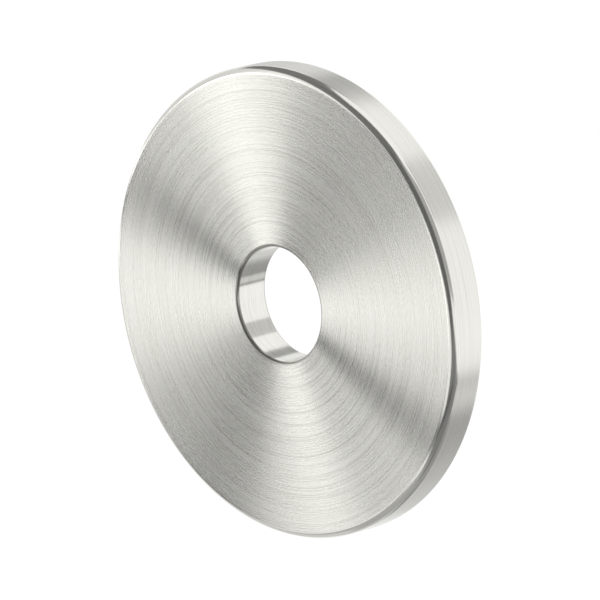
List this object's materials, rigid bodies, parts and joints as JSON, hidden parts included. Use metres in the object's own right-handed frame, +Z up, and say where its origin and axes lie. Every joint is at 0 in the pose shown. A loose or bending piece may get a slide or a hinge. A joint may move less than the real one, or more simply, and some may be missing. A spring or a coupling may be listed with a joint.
{
  "type": "spout escutcheon plate",
  "caption": "Round brushed steel wall plate with rounded edges and a plain central bore, which a wall spout's pipe passes through and which hides the hole in the wall.",
  "frame": {"origin": "centre of the plate's back face, on the bore's axis, in the plane of the wall", "axes": "+Z up as fitted, +Y into the wall along the bore's axis, -Y out of the wall towards the room, +X to the right seen from the front"},
  "size_m": [0.09, 0.0075, 0.09],
  "materials": {
    "brushed_stainless_steel": "front brushed in fine concentric lines, rim and bore satin turned, front edges polished, back plain turned"
  },
  "bodies": {
    "root": {"escutcheon_plate": "brushed_stainless_steel"}
  },
  "joints": []
}
